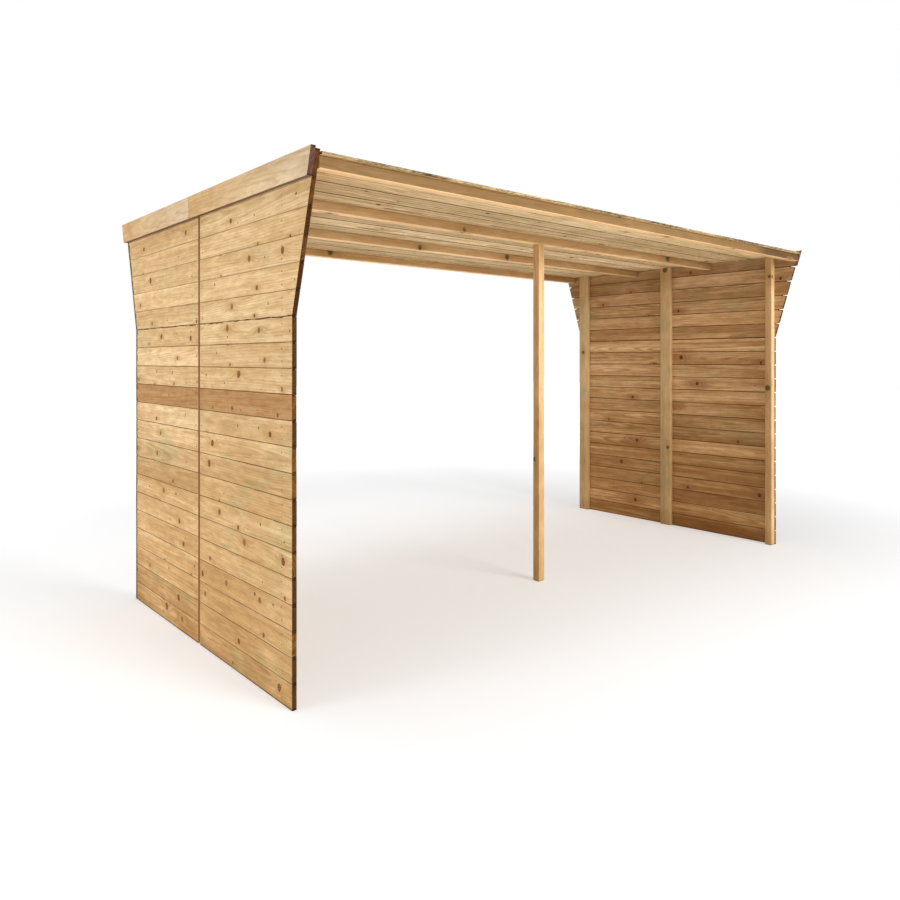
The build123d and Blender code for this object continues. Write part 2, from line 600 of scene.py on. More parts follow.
@dataclass(frozen=True)
class WoodFinish:
    """Treated softwood, with the colours and sizes of one kind of timber in the store."""

    name: str

    # Colours
    pale: Colour
    tan: Colour
    latewood: Colour
    knot: Colour
    rind: Colour
    glow: Colour
    joint: Colour
    sawn_end: Colour
    # Painted light: sawn ends in a wall's slot are paler than the end grain elsewhere, standing in for light
    # reaching into the slot
    slot_end: Colour = (0.64, 0.38, 0.18)
    dirt: Colour = (0.100, 0.042, 0.012)

    # Light by which a colour is multiplied
    cool_mottle: Colour = (1.08, 1.09, 1.10)
    warm_mottle: Colour = (0.88, 0.82, 0.74)
    green: Colour = (0.87, 0.98, 0.98)
    bleached: Colour = (1.15, 1.21, 1.32)
    soiled: Colour = (0.91, 0.83, 0.73)
    splashed: Colour = (0.74, 0.68, 0.58)
    dark_board: Colour = (0.55, 0.385, 0.26)
    # A darker, browner inner side: partly the unplaned inner face, partly painted shade
    inner_cast: Colour = (1.0, 1.0, 1.0)
    # Painted shade: the inner side of the boards darkens high up, under the roof
    high_cast: Colour = (1.0, 1.0, 1.0)
    high_end: Colour = (1.0, 1.0, 1.0)
    golden_end: Colour = (2.8, 2.9, 2.8)
    # Painted shade: sawn ends darken where the tongue and groove of two boards meet
    end_at_joint: Colour = (0.2, 0.2, 0.2)

    # Figure
    ring_spacing: float = 0.004
    ring_strength: float = 0.5
    pith_depth: float = 0.03
    tilt: float = 0.05
    waver: float = 0.006
    band_strength: float = 0.6
    streak_strength: float = 0.5
    mottle_strength: float = 0.6
    fleck_strength: float = 0.35
    fleck_length: float = 1.0

    # Knots
    knots: KnotPattern = KnotPattern(0.30, 0.0085, 0.6)
    pin_knots: KnotPattern = KnotPattern(0.17, 0.0034, 0.4)
    knot_roundness: float = 0.0
    glow_strength: float = 0.6

    # One board against the next: the powers make a paler board bluer, and a darker one redder
    tone_strength: float = 0.14
    tone_green: float = 1.12
    tone_blue: float = 1.35

    # Treatment, weather and dirt
    green_strength: float = 0.5
    soil_strength: float = 0.5
    wet_share: float = 0.75
    joint_strength: float = 0.85
    high_joint_strength: float = 0.85
    worn_strength: float = 0.0
    back_edge_strength: float = 0.0
    back_edge_width: float = 0.024
    back_edge_spread: float = 0.6  # a share of the width
    end_shade: float = 0.0

    # Boards and their surface
    board_width: float = 0.095
    board_thickness: float = 0.020
    inner_side: Pair = (0.55, 0.80)  # begins between these shares of the thickness
    roughness: float = 0.68
    gloss: float = 0.30
    saw_pitch: float = 0.003
    saw_height: float = 0.3
    bump: float = 0.35
    bump_depth: float = 0.0006

    def material(self, effects: WoodEffects) -> bpy.types.Material:
        """Build the finish.

        Args:
            effects: The shared shader groups.

        Returns:
            The material.
        """
        material = bpy.data.materials.new(self.name)
        g = Graph.of(material)
        masks = self._masks(g, effects)
        colour = self._open_grain(g, masks)
        colour = self._board_tone(g, masks, colour)
        colour = self._weather(g, masks, colour)
        colour = self._marks(g, masks, colour)
        g.surface(
            {
                "Base Color": g.tint(g.attribute(CUT), colour, self._sawn_end(g, masks)),
                "Roughness": self._roughness(g, masks),
                "Specular IOR Level": self.gloss,
                "Normal": self._relief(g, masks),
            }
        )
        return material

    def _masks(self, g: Graph, effects: WoodEffects) -> WoodMasks:
        """Place the shared effects with this finish's values.

        Args:
            g: The material's nodes.
            effects: The shared shader groups.

        Returns:
            What the effects and the mesh say at each point.
        """
        grain, seed = g.attribute(GRAIN, "Vector"), g.attribute(SEED, "Vector")
        position = g.wire("ShaderNodeTexCoord", out="Object")
        _, across, through = g.split(grain)
        _, run, height = g.split(position)
        _, pick_end, _ = g.split(seed)
        inner_starts, inner_full = [self.board_thickness * share for share in self.inner_side]
        knots = self._knots(g, effects, self.knots, {"Grain": grain, "Seed": seed})
        pin_knots = self._knots(g, effects, self.pin_knots, {"Grain": grain, "Seed": seed + (3.1, 5.7, 0.0)})
        figure = {
            "Grain": grain,
            "Seed": seed,
            "Ring Spacing": self.ring_spacing,
            "Pith Depth": self.pith_depth,
            "Tilt": self.tilt,
            "Bend": knots["Bend"],
            "Fleck Length": self.fleck_length,
            "Waver": self.waver,
        }
        joints = {
            "Grain": grain,
            "Seed": seed,
            "Position": position,
            "Stain": g.attribute(STAIN),
            "Saw Pitch": self.saw_pitch,
        }
        return WoodMasks(
            figure=g.group(effects.figure, figure),
            knots=knots,
            pin_knots=pin_knots,
            treatment=g.group(effects.treatment, {"Position": position, "Seed": seed}),
            joints=g.group(effects.joints, joints),
            pick_end=pick_end,
            across=across,
            inner=g.ramp(through, inner_starts, inner_full),
            run=run,
            height=height,
        )

    def _knots(self, g: Graph, effects: WoodEffects, pattern: KnotPattern, board: Inputs) -> dict[str, Wire]:
        """Place the knots of one size.

        Args:
            g: The material's nodes.
            effects: The shared shader groups.
            pattern: How the knots lie.
            board: The board's grain and random numbers.

        Returns:
            The knots' masks.
        """
        sizes = {
            "Spacing": pattern.spacing,
            "Board Width": self.board_width,
            "Radius": pattern.radius,
            "Share": pattern.share,
            "Roundness": self.knot_roundness,
            "Halo": pattern.halo,
        }
        return g.group(effects.knots, {**board, **sizes})

    def _open_grain(self, g: Graph, masks: WoodMasks) -> Wire:
        """Colour the plain wood.

        Args:
            g: The material's nodes.
            masks: What the effects say at each point.

        Returns:
            Pale wood with tan bands and streaks, and over them the darker latewood lines.
        """
        figure = masks.figure
        colour = g.tint(figure["Bands"] * self.band_strength, self.pale, self.tan)
        colour = g.tint(figure["Streaks"] * self.streak_strength, colour, self.tan)
        colour = g.tint(figure["Rings"] * self.ring_strength, colour, self.latewood)
        fibre_shade = g.mix(figure["Fibres"], 0.92, 1.06)
        colour = colour * g.combine(fibre_shade, fibre_shade, fibre_shade)
        mottle = g.tint(figure["Mottle"], self.cool_mottle, self.warm_mottle)
        return g.cast(self.mottle_strength, colour, mottle)

    def _board_tone(self, g: Graph, masks: WoodMasks, colour: Wire) -> Wire:
        """Make one board paler or darker than the next.

        Args:
            g: The material's nodes.
            masks: What the effects say at each point.
            colour: The wood's colour so far.

        Returns:
            The colour, which is much darker on a board of heartwood.
        """
        tone = g.attribute(TONE)
        # On timbers the tone also carries painted shade on some faces and a painted highlight on undersides
        shade = tone * (tone > DARK_TONE / 2) * self.tone_strength + 1.0
        colour = colour * g.combine(shade, shade**self.tone_green, shade**self.tone_blue)
        heart = (tone < DARK_TONE / 2) * g.mix(masks.figure["Mottle"], 1.0, 0.55)
        return g.cast(heart, colour, self.dark_board)

    def _weather(self, g: Graph, masks: WoodMasks, colour: Wire) -> Wire:
        """Add the treatment and the weather, a browner inner side that is partly painted shade, and painted
        shade under the roof.

        Args:
            g: The material's nodes.
            masks: What the effects say at each point.
            colour: The wood's colour so far.

        Returns:
            The colour.
        """
        treatment = masks.treatment
        colour = g.cast(treatment["Green"] * self.green_strength, colour, self.green)
        colour = g.cast(treatment["Bleached"], colour, self.bleached)
        colour = g.cast(treatment["Soiled"] * self.soil_strength, colour, self.soiled)
        colour = g.cast(treatment["Splashed"] * self.soil_strength, colour, self.splashed)
        # A thin dark line along the foot of the boards
        colour = g.tint(treatment["Wet"] * (self.soil_strength * self.wet_share), colour, self.dirt)
        # The inner side: partly its own browner colour, partly painted shade
        colour = g.cast(masks.inner, colour, self.inner_cast)
        # Painted shade on the inner side high up, under the roof
        return g.cast(masks.inner * g.ramp(masks.height, *ROOF_FADE), colour, self.high_cast)

    def _marks(self, g: Graph, masks: WoodMasks, colour: Wire) -> Wire:
        """Add the flecks, the knots, the dark joints, the worn line and the dark back edge.

        Args:
            g: The material's nodes.
            masks: What the effects say at each point.
            colour: The wood's colour so far.

        Returns:
            The colour.
        """
        figure, joints = masks.figure, masks.joints
        colour = g.tint(figure["Flecks"] * self.fleck_strength, colour, self.knot)
        colour = g.tint(masks.knots["Glow"] * self.glow_strength, colour, self.glow)
        for layer in (masks.knots, masks.pin_knots):
            colour = g.tint(layer["Knot"], colour, self.knot)
            colour = g.tint(layer["Rind"], colour, self.rind)
        strength = g.ramp(masks.height, *JOINT_FADE, self.joint_strength, self.high_joint_strength)
        colour = g.tint(joints["Joint"] * strength, colour, self.joint)
        colour = g.tint(joints["Worn Line"] * self.worn_strength, colour, self.dirt)
        width = self.back_edge_width
        from_end = g.attribute(FROM_END) + (figure["Mottle"] - 0.5) * (width * self.back_edge_spread)
        back_edge = g.ramp(from_end, width * 0.7, width, self.back_edge_strength, 0.0)
        return g.tint(back_edge * (masks.run > BACK_PART), colour, self.dirt)

    def _sawn_end(self, g: Graph, masks: WoodMasks) -> Wire:
        """Colour the sawn ends.

        Args:
            g: The material's nodes.
            masks: What the effects say at each point.

        Returns:
            Dark end grain, golden on some boards, with painted shade at the joints and painted light that
            makes the ends paler in the slot.
        """
        figure = masks.figure
        colour = g.tint(figure["Rings"] * 0.2, self.sawn_end, self.latewood)
        colour = g.tint(masks.inner * self.end_shade, colour, self.rind)
        colour = g.cast(g.ramp(masks.height, *KNEE_FADE), colour, self.high_end)
        golden = g.ramp(masks.pick_end, 0.45, 0.7) * g.mix(figure["Mottle"], 0.9, 0.2)
        colour = g.cast(golden, colour, self.golden_end)
        # Painted shade where the tongue and groove meet on the sawn ends
        from_joint = self.board_width / 2 - abs(masks.across)
        colour = g.cast(g.ramp(from_joint, 0.004, 0.010, 0.75, 0.0), colour, self.end_at_joint)
        # Painted light: sawn ends in the slot are made paler
        return g.tint(g.ramp(abs(masks.run), *SLOT_ENDS, 1.0, 0.0), colour, self.slot_end)

    def _roughness(self, g: Graph, masks: WoodMasks) -> Wire:
        """Return the roughness, which is lower on the knots."""
        rough = g.mix(masks.figure["Fibres"], self.roughness - 0.06, self.roughness + 0.08)
        return g.mix(masks.knots["Knot"], rough, self.roughness - 0.18)

    def _relief(self, g: Graph, masks: WoodMasks) -> Wire:
        """Raise the fibres, the rings, the saw's ridges and the knots.

        Args:
            g: The material's nodes.
            masks: What the effects say at each point.

        Returns:
            The normal.
        """
        height = masks.figure["Fibres"] * 0.35 + masks.figure["Rings"] * 0.30
        height = height + masks.joints["Saw Ridges"] * self.saw_height + masks.knots["Knot"] * 0.6
        inputs = {"Strength": self.bump, "Distance": self.bump_depth, "Height": height}
        return g.wire("ShaderNodeBump", inputs)


@dataclass(frozen=True)
class NailFinish:
    """Dull galvanised nail heads with a little brown stain from the wood's tannin."""

    name: str = "nail_heads"
    zinc: Colour = (0.20, 0.155, 0.105)
    stain: Colour = (0.13, 0.070, 0.030)
    metallic: float = 0.15

    def material(self) -> bpy.types.Material:
        """Build the finish.

        Returns:
            The material.
        """
        material = bpy.data.materials.new(self.name)
        g = Graph.of(material)
        position = g.wire("ShaderNodeTexCoord", out="Object")
        patches = g.ramp(g.noise(position * (90.0, 90.0, 90.0), 3.0, 0.6), 0.35, 0.62)
        g.surface(
            {
                "Base Color": g.tint(patches, self.zinc, self.stain),
                "Roughness": g.mix(patches, 0.42, 0.75),
                "Metallic": self.metallic,
            }
        )
        return material


LEFT_WALL_BOARDS = WoodFinish(
    name="left_wall_boards",
    pale=(0.860, 0.603, 0.318),
    tan=(0.645, 0.405, 0.178),
    latewood=(0.44, 0.240, 0.092),
    knot=(0.360, 0.165, 0.048),
    rind=(0.110, 0.044, 0.010),
    glow=(0.55, 0.295, 0.100),
    joint=(0.165, 0.074, 0.020),
    sawn_end=(0.060, 0.024, 0.004),
    # Inner side partly painted shade
    inner_cast=(0.74, 0.66, 0.58),
    high_end=(0.72, 0.62, 0.64),
    ring_spacing=0.0080,
    ring_strength=0.48,
    tilt=0.090,
    band_strength=0.75,
    streak_strength=0.55,
    mottle_strength=0.9,
    knots=KnotPattern(0.30, 0.0112, 0.6),
    pin_knots=KnotPattern(0.17, 0.0045, 0.36),
    tone_strength=0.08,
    green_strength=0.8,
    soil_strength=0.95,
    joint_strength=0.72,
    high_joint_strength=0.30,
    worn_strength=0.95,
    back_edge_strength=0.85,
    end_shade=0.65,
    gloss=0.06,
)

RIGHT_WALL_BOARDS = replace(
    LEFT_WALL_BOARDS,
    name="right_wall_boards",
    tan=(0.52, 0.305, 0.130),
    latewood=(0.36, 0.190, 0.074),
    knot=(0.150, 0.058, 0.026),
    rind=(0.120, 0.050, 0.022),
    glow=(0.36, 0.160, 0.060),
    # Inner side partly painted shade
    inner_cast=(0.92, 0.87, 0.83),
    # Painted shade on the inner side high up, under the roof
    high_cast=(0.80, 0.80, 0.84),
    ring_strength=0.75,
    band_strength=1.0,
    streak_strength=0.7,
    knots=KnotPattern(0.62, 0.0135, 0.40, halo=4.2),
    pin_knots=KnotPattern(0.17, 0.0034, 0.06),
    glow_strength=0.9,
    tone_strength=0.17,
    soil_strength=1.0,
    joint_strength=0.9,
    high_joint_strength=0.9,
    worn_strength=0.3,
    back_edge_strength=0.0,
)

FASCIA_BOARDS = WoodFinish(
    name="fascia_boards",
    pale=(0.72, 0.505, 0.280),
    tan=(0.58, 0.365, 0.165),
    latewood=(0.45, 0.260, 0.108),
    knot=(0.20, 0.095, 0.040),
    rind=(0.090, 0.042, 0.020),
    glow=(0.50, 0.29, 0.125),
    joint=(0.12, 0.055, 0.030),
    sawn_end=(0.100, 0.042, 0.030),
    slot_end=(0.100, 0.042, 0.030),
    ring_spacing=0.013,
    ring_strength=0.55,
    tilt=0.16,
    waver=0.024,
    band_strength=0.50,
    streak_strength=0.15,
    mottle_strength=0.8,
    fleck_strength=0.0,
    knots=KnotPattern(0.30, 0.0085, 0.0),
    pin_knots=KnotPattern(0.17, 0.0034, 0.0),
    tone_strength=0.075,
    tone_green=2.5,
    tone_blue=5.2,
    green_strength=0.2,
    soil_strength=0.0,
    board_width=0.100,
    roughness=0.52,
    gloss=0.12,
    saw_height=0.0,
    bump=0.15,
)

FRAME_TIMBER = WoodFinish(
    name="frame_timber",
    pale=(0.86, 0.580, 0.295),
    tan=(0.68, 0.410, 0.175),
    latewood=(0.50, 0.270, 0.100),
    knot=(0.155, 0.098, 0.026),
    rind=(0.050, 0.034, 0.008),
    glow=(0.40, 0.235, 0.075),
    joint=(0.13, 0.06, 0.02),
    sawn_end=(0.30, 0.165, 0.065),
    slot_end=(0.30, 0.165, 0.065),
    ring_strength=0.45,
    band_strength=0.60,
    streak_strength=0.45,
    fleck_strength=0.2,
    knots=KnotPattern(0.85, 0.0190, 0.80),
    pin_knots=KnotPattern(0.17, 0.0034, 0.15),
    knot_roundness=1.0,
    glow_strength=0.75,
    tone_strength=0.10,
    green_strength=0.35,
    soil_strength=0.35,
    board_width=0.060,
    board_thickness=0.5,
    roughness=0.55,
    gloss=0.12,
    saw_height=0.05,
    bump=0.2,
)

BATTEN_TIMBER = replace(
    FRAME_TIMBER,
    name="batten_timber",
    pale=(0.66, 0.455, 0.232),
    tan=(0.50, 0.320, 0.145),
    knots=KnotPattern(0.48, 0.0165, 0.80),
    green_strength=0.9,
    board_width=0.090,
)

ROOF_BOARDS = WoodFinish(
    name="roof_boards",
    pale=(0.92, 0.700, 0.410),
    tan=(0.76, 0.555, 0.295),
    latewood=(0.26, 0.158, 0.066),
    knot=(0.10, 0.056, 0.018),
    rind=(0.050, 0.028, 0.008),
    glow=(0.40, 0.24, 0.10),
    joint=(0.026, 0.013, 0.005),
    sawn_end=(0.33, 0.20, 0.09),
    slot_end=(0.33, 0.20, 0.09),
    ring_spacing=0.010,
    ring_strength=0.95,
    band_strength=0.70,
    streak_strength=1.0,
    mottle_strength=1.0,
    fleck_strength=0.85,
    fleck_length=4.0,
    knots=KnotPattern(0.55, 0.012, 0.6),
    soil_strength=0.0,
    joint_strength=1.0,
    high_joint_strength=1.0,
    board_width=0.156,
    board_thickness=0.5,
    roughness=0.78,
    gloss=0.05,
    saw_pitch=0.004,
    saw_height=0.55,
    bump=0.55,
)


# ---------------------------------------------------------------------------
# Meshes
# ---------------------------------------------------------------------------


def write_attribute(mesh: bpy.types.Mesh, name: str, domain: str, values: Sequence[Value]) -> None:
    """Store a number or a vector for each point, face or face corner of a mesh.

    Args:
        mesh: The mesh.
        name: The attribute's name.
        domain: POINT, FACE or CORNER.
        values: One number or vector for each.
    """
    if isinstance(values[0], float):
        mesh.attributes.new(name, "FLOAT", domain).data.foreach_set("value", values)
    else:
        parts = [part for value in values for part in value]
        mesh.attributes.new(name, "FLOAT_VECTOR", domain).data.foreach_set("vector", parts)


def tube(
    name: str, rings: Sequence[Sequence[Sequence[float]]], ends: Sequence[Sequence[int]]
) -> tuple[bpy.types.Mesh, set[int]]:
    """Join rings of points to a closed tube.

    Args:
        name: The mesh's name.
        rings: The points of each ring, in the same order around all of them.
        ends: The faces that close an end, each by the numbers of its points in the ring.

    Returns:
        The mesh, and the numbers of its end faces.
    """
    build = bmesh.new()
    loops = [[build.verts.new(point) for point in ring] for ring in rings]
    first, last = loops[0], loops[-1]
    caps = [build.faces.new([loop[index] for index in end]) for loop in (first, last) for end in ends]
    for loop, following in zip(loops, loops[1:]):
        for index in range(len(loop)):
            after = (index + 1) % len(loop)
            build.faces.new((loop[index], following[index], following[after], loop[after]))
    bmesh.ops.recalc_face_normals(build, faces=build.faces)
    build.faces.index_update()
    cap_numbers = {face.index for face in caps}
    mesh = bpy.data.meshes.new(name)
    build.to_mesh(mesh)
    build.free()
    return mesh, cap_numbers


def keep_piece(name: str, mesh: bpy.types.Mesh, nodes: Sequence[str]) -> bpy.types.Object:
    """Put a finished mesh in the scene as one piece of the store.

    Args:
        name: The piece's name.
        mesh: Its mesh, already in place.
        nodes: The CAD nodes it stands for.

    Returns:
        The piece's object, at the origin.
    """
    mesh.name = name
    piece = bpy.data.objects.new(name, mesh)
    bpy.context.scene.collection.objects.link(piece)
    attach(piece, "root")
    if nodes:
        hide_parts(*nodes)
    triangles = sum(len(polygon.vertices) - 2 for polygon in mesh.polygons)
    LOG.info("%s: %d triangles, stands for %s", name, triangles, ", ".join(nodes) or "no node")
    return piece


@dataclass(frozen=True)
class BoardProfile:
    """The section of a tongue and grooved board with a V on its show face.

    Each outline point is a depth behind the show face and a height past the joint line, in
    millimetres for a board of the drawn thickness. The other sizes are in metres.
    """

    course: float
    thickness: float
    drawn_thickness: float = 20.0
    rim: float = 0.0020
    rear_rim: float = 0.0045
    shoulder: float = 0.0085
    v_below: float = 1.1
    v_above: float = 1.9
    v_depth: float = 2.2
    edge_stain: float = 0.0
    tongue: tuple[Point, ...] = ((6.5, 0.4), (6.5, 6.5), (13.0, 6.5), (13.0, -2.8), (20.0, -3.0))
    groove: tuple[Point, ...] = ((6.2, 1.0), (6.2, 7.6), (13.4, 7.6), (13.4, -2.2), (20.0, -1.8))
    flat_edge: tuple[Point, ...] = ((0.0, 1.0), (1.0, 0.0), (19.0, 0.0), (20.0, 1.0))

    def outline(self, kind: BoardKind) -> list[tuple[float, float, float, float]]:
        """Draw the section of one board.

        Args:
            kind: Where the board lies in the boarding.

        Returns:
            Depth, height above the board's own joint line, joint stain and corner for
            each point, around the section from its bottom show edge.
        """
        millimetre = 0.001
        deep = self.thickness / self.drawn_thickness
        flat_low, flat_high = kind is BoardKind.FOOT, kind is BoardKind.HEAD
        low = ((0.0, self.v_above), (self.v_depth, self.groove[0][1]), *self.groove)
        high = ((0.0, -self.v_below), (self.v_depth, self.tongue[0][1]), *self.tongue)
        if flat_low:
            low = self.flat_edge
        if flat_high:
            high = tuple((depth, -height) for depth, height in self.flat_edge)
        low_stain = self.edge_stain if flat_low else 1.0
        high_stain = self.edge_stain if flat_high else 1.0
        corner = float(not flat_high)
        bottom = [(depth * deep, height * millimetre, low_stain, 0.0) for depth, height in low]
        top = [
            (depth * deep, self.course + height * millimetre, high_stain * (depth > 0.0), corner)
            for depth, height in high
        ]
        show = [
            (0.0, bottom[0][1] + self.rim, 0.0, 0.0),
            (0.0, self.course - self.shoulder, 0.0, 0.0),
            (0.0, top[0][1] - self.rim, 0.0, corner),
        ]
        back = [
            (self.thickness, top[-1][1] - self.rear_rim, 0.0, corner),
            (self.thickness, self.course - 1.5 * self.shoulder, 0.0, 0.0),
            (self.thickness, bottom[-1][1] + self.rear_rim, 0.0, 0.0),
        ]
        return [*show, *top, *back, *reversed(bottom)]

    def mesh(self, kind: BoardKind, segments: int) -> bpy.types.Mesh:
        """Build a board one metre long, to be stretched to its real length.

        Args:
            kind: Where the board lies in the boarding.
            segments: How many lengths it is divided into.

        Returns:
            The mesh, along +X with its show face towards -Y.
        """
        outline = self.outline(kind)
        steps = range(segments + 1)
        rings = [[(step / segments, depth, height) for depth, height, _, _ in outline] for step in steps]
        numbers = list(range(len(outline)))
        notched = [number for number in numbers if outline[number][3]]
        ends = [numbers]
        if notched:
            # The notched corner gets a face of its own, so that both faces of an end stay flat
            first, last = notched[0] - 1, notched[-1] + 1
            ends = [numbers[first : last + 1], numbers[: first + 1] + numbers[last:]]
        mesh, cap_numbers = tube(f"board_{kind.value}_{kind.name.lower()}", rings, ends)
        write_attribute(mesh, STAIN, "POINT", [stain for _, _, stain, _ in outline] * len(rings))
        write_attribute(mesh, CORNER, "POINT", [corner for _, _, _, corner in outline] * len(rings))
        write_attribute(mesh, CUT, "FACE", [float(face.index in cap_numbers) for face in mesh.polygons])
        return mesh


class BoardingTree:
    """Geometry nodes that stack boards into one boarded panel with straight or leaning ends."""

    COURSE_NUMBER = "course_number"

    def __init__(self) -> None:
        """Build the tree."""
        inputs = {
            "Board Shapes": "Collection",
            "Length": 1.0,
            "Course": 0.1,
            "Thickness": 0.02,
            "Boards": 10,
            "Flat Foot": False,
            "Flat Head": False,
            "Lean At Start": 0.0,
            "Lean At End": 0.0,
            "Notch At Start": 0.0,
            "Notch At End": 0.0,
            "Dark Board": -1,
            "Worn Joint": -1.0,
            "Wobble": 0.0005,
            "Seed": 0,
            "Finish": "Material",
        }
        self.g = TreeBuilder("boarding", "GeometryNodeTree", inputs)
        self.tree = self.g.put(Geometry=self._dress(self._shape(self._lay())))

    def _random(self, kind: str, **inputs: Value) -> Wire:
        """Return random numbers or vectors, the same for all of one board."""
        return self.g.wire("FunctionNodeRandomValue", inputs, "Value", data_type=kind)

    def _read(self, name: str, kind: str) -> Wire:
        """Read a stored attribute back in the tree."""
        return self.g.wire("GeometryNodeInputNamedAttribute", {"Name": name}, "Attribute", data_type=kind)

    def _store(self, geometry: Wire, name: str, kind: str, value: Wire) -> Wire:
        """Store a value for each point under a name.

        Args:
            geometry: The geometry to write on.
            name: The attribute's name.
            kind: FLOAT, INT or FLOAT_VECTOR.
            value: The value.

        Returns:
            The geometry with the attribute.
        """
        inputs = {"Geometry": geometry, "Name": name, "Value": value}
        return self.g.wire("GeometryNodeStoreNamedAttribute", inputs, data_type=kind, domain="POINT")

    def _line(self, index: Wire) -> Wire:
        """Lay a point on each joint line.

        Args:
            index: The number of each point.

        Returns:
            The points, each with its board's random numbers, tone and course number.
        """
        g, sizes = self.g, self.g.inputs
        step = g.combine(0.0, 0.0, sizes["Course"])
        line = g.wire("GeometryNodeMeshLine", {"Count": sizes["Boards"], "Offset": step})
        seed = self._random("FLOAT_VECTOR", ID=index, Seed=sizes["Seed"])
        plain = self._random("FLOAT", Min=-1.0, Max=1.0, ID=index, Seed=sizes["Seed"] + 100.0)
        same = {"A": index, "B": sizes["Dark Board"]}
        is_dark = g.wire("FunctionNodeCompare", same, data_type="INT", operation="EQUAL")
        tones = {"Switch": is_dark, "False": plain, "True": DARK_TONE}
        line = self._store(line, SEED, "FLOAT_VECTOR", seed)
        line = self._store(line, TONE, "FLOAT", g.wire("GeometryNodeSwitch", tones, input_type="FLOAT"))
        return self._store(line, self.COURSE_NUMBER, "INT", index)

    def _lay(self) -> Wire:
        """Set a board of the right shape on each course.

        Returns:
            The boards, joined to one mesh.
        """
        g, sizes = self.g, self.g.inputs
        index = g.wire("GeometryNodeInputIndex")
        as_foot = (index < 0.5) * sizes["Flat Foot"]
        as_head = (index > sizes["Boards"] - 1.5) * sizes["Flat Head"]
        shapes = g.wire(
            "GeometryNodeCollectionInfo",
            {"Collection": sizes["Board Shapes"], "Separate Children": True, "Reset Children": True},
        )
        placed = g.wire(
            "GeometryNodeInstanceOnPoints",
            {
                "Points": self._line(index),
                "Instance": shapes,
                "Pick Instance": True,
                "Instance Index": BoardKind.FIELD.value - as_foot + as_head,
                "Scale": g.combine(sizes["Length"], 1.0, 1.0),
            },
        )
        return g.wire("GeometryNodeRealizeInstances", {"Geometry": placed})

    def _shape(self, boards: Wire) -> Wire:
        """Cut the ends to the panel's lean and notches and make each board slightly uneven.

        Args:
            boards: The straight boards.

        Returns:
            The shaped boards.
        """
        g, sizes = self.g, self.g.inputs
        x, y, z = g.split(g.wire("GeometryNodeInputPosition"))
        length, thickness, wobble = sizes["Length"], sizes["Thickness"], sizes["Wobble"]
        seed = self._read(SEED, "FLOAT_VECTOR")
        start_pick, end_pick, _ = g.split(seed)
        rise = z / (sizes["Course"] * sizes["Boards"])

        # Along the board: the ends lean with the wall's edge, are trimmed unevenly and notched
        trim = wobble * 3.0
        start = start_pick * trim - sizes["Lean At Start"] * rise
        stop = length + sizes["Lean At End"] * rise - end_pick * trim
        from_stop = length - x
        notch = (x < 0.001) * sizes["Notch At Start"] - (from_stop < 0.001) * sizes["Notch At End"]
        moved_x = g.mix(x / length, start, stop) + self._read(CORNER, "FLOAT") * notch
        boards = self._store(boards, FROM_END, "FLOAT", g.math("MINIMUM", x, from_stop))

        # Through the board: it bows a little, within its thickness
        run = g.combine(x * 1.7, 0.0, 0.0) + seed * (40.0, 40.0, 40.0)
        bow = (g.noise(run, 1.0) - 0.5) * 2.0
        moved_y = y * ((thickness - wobble * 2.0) / thickness) + wobble + bow * wobble
        moved_y = g.math("MINIMUM", g.math("MAXIMUM", moved_y, 0.0), thickness)

        # Across the board: its joints sway a little, but the panel's flat foot and head don't
        sway = (g.noise(run * (2.3, 1.0, 1.0) + (5.0, 9.0, 3.0), 1.0) - 0.5) * 2.0
        at_foot = (z < 0.0015) * sizes["Flat Foot"]
        at_head = (rise > 0.9985) * sizes["Flat Head"]
        moved_z = g.mix(g.math("MAXIMUM", at_foot, at_head), z + sway * wobble, z)
        place = g.combine(moved_x, moved_y, moved_z)
        return g.wire("GeometryNodeSetPosition", {"Geometry": boards, "Position": place})

    def _dress(self, boards: Wire) -> Wire:
        """Store the grain's own coordinates and give the boards their finish.

        Args:
            boards: The shaped boards.

        Returns:
            The finished boards, with more stain at the worn joint.
        """
        g, sizes = self.g, self.g.inputs
        x, y, z = g.split(g.wire("GeometryNodeInputPosition"))
        middle = (self._read(self.COURSE_NUMBER, "INT") + 0.5) * sizes["Course"]
        boards = self._store(boards, GRAIN, "FLOAT_VECTOR", g.combine(x, z - middle, y))
        worn = g.ramp(abs(z - sizes["Worn Joint"]), 0.004, 0.016, 1.9, 1.0)
        boards = self._store(boards, STAIN, "FLOAT", self._read(STAIN, "FLOAT") * worn)
        for name in (self.COURSE_NUMBER, CORNER):
            boards = g.wire("GeometryNodeRemoveAttribute", {"Geometry": boards, "Name": name})
        return g.wire("GeometryNodeSetMaterial", {"Geometry": boards, "Material": sizes["Finish"]})


